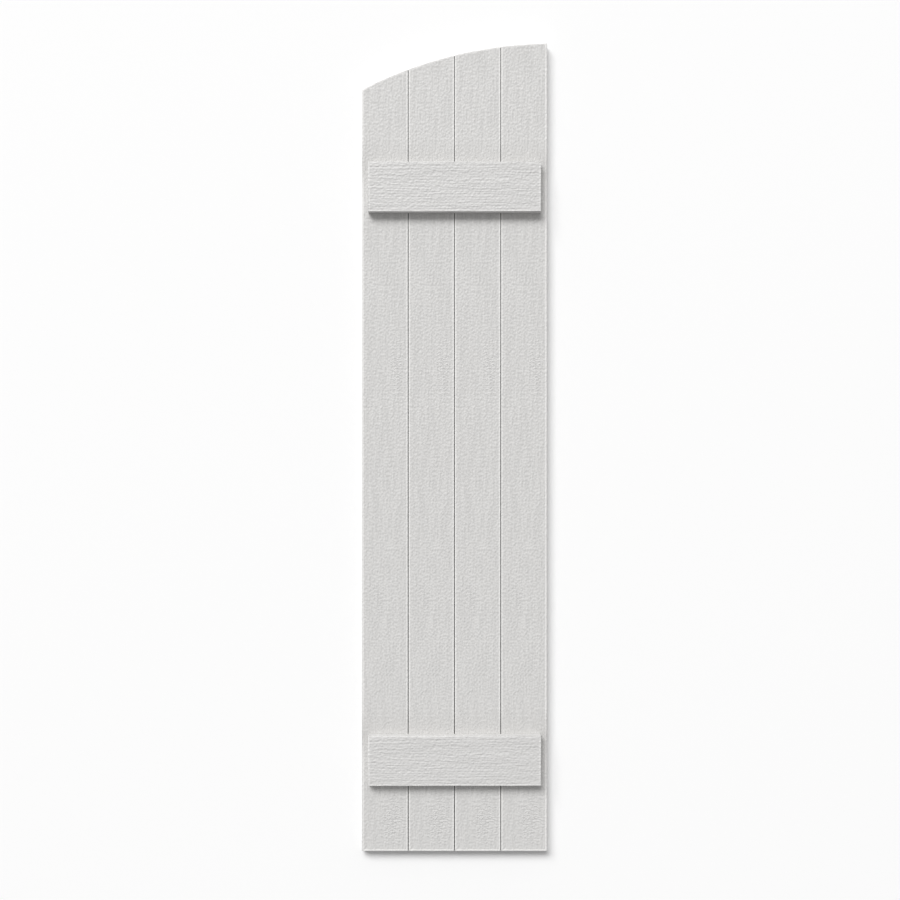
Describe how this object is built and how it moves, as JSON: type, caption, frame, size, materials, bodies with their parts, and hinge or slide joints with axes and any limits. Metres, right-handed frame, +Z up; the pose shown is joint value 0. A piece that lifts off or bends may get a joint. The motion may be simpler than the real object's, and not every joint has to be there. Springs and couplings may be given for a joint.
{
  "type": "board and batten shutter",
  "caption": "Exterior board and batten shutter with joined boards, a half-arch top and face battens, painted off-white with a raised wood grain",
  "frame": {"origin": "On the flat back of the boards, which lies against the wall, midway across the width and midway up the high side", "axes": "+X runs across the boards to the high side, +Y runs from the face to the back and into the wall, +Z is up"},
  "size_m": [0.3556, 0.0381, 1.5526],
  "materials": {
    "painted_board": "satin off-white paint over an upright wood grain",
    "painted_batten": "satin off-white paint over a level wood grain",
    "screw_zinc": "zinc plated"
  },
  "bodies": {
    "root": {"board_1": "painted_board", "board_2": "painted_board", "board_3": "painted_board", "board_4": "painted_board", "lower_batten": "painted_batten", "upper_batten": "painted_batten"}
  },
  "joints": []
}
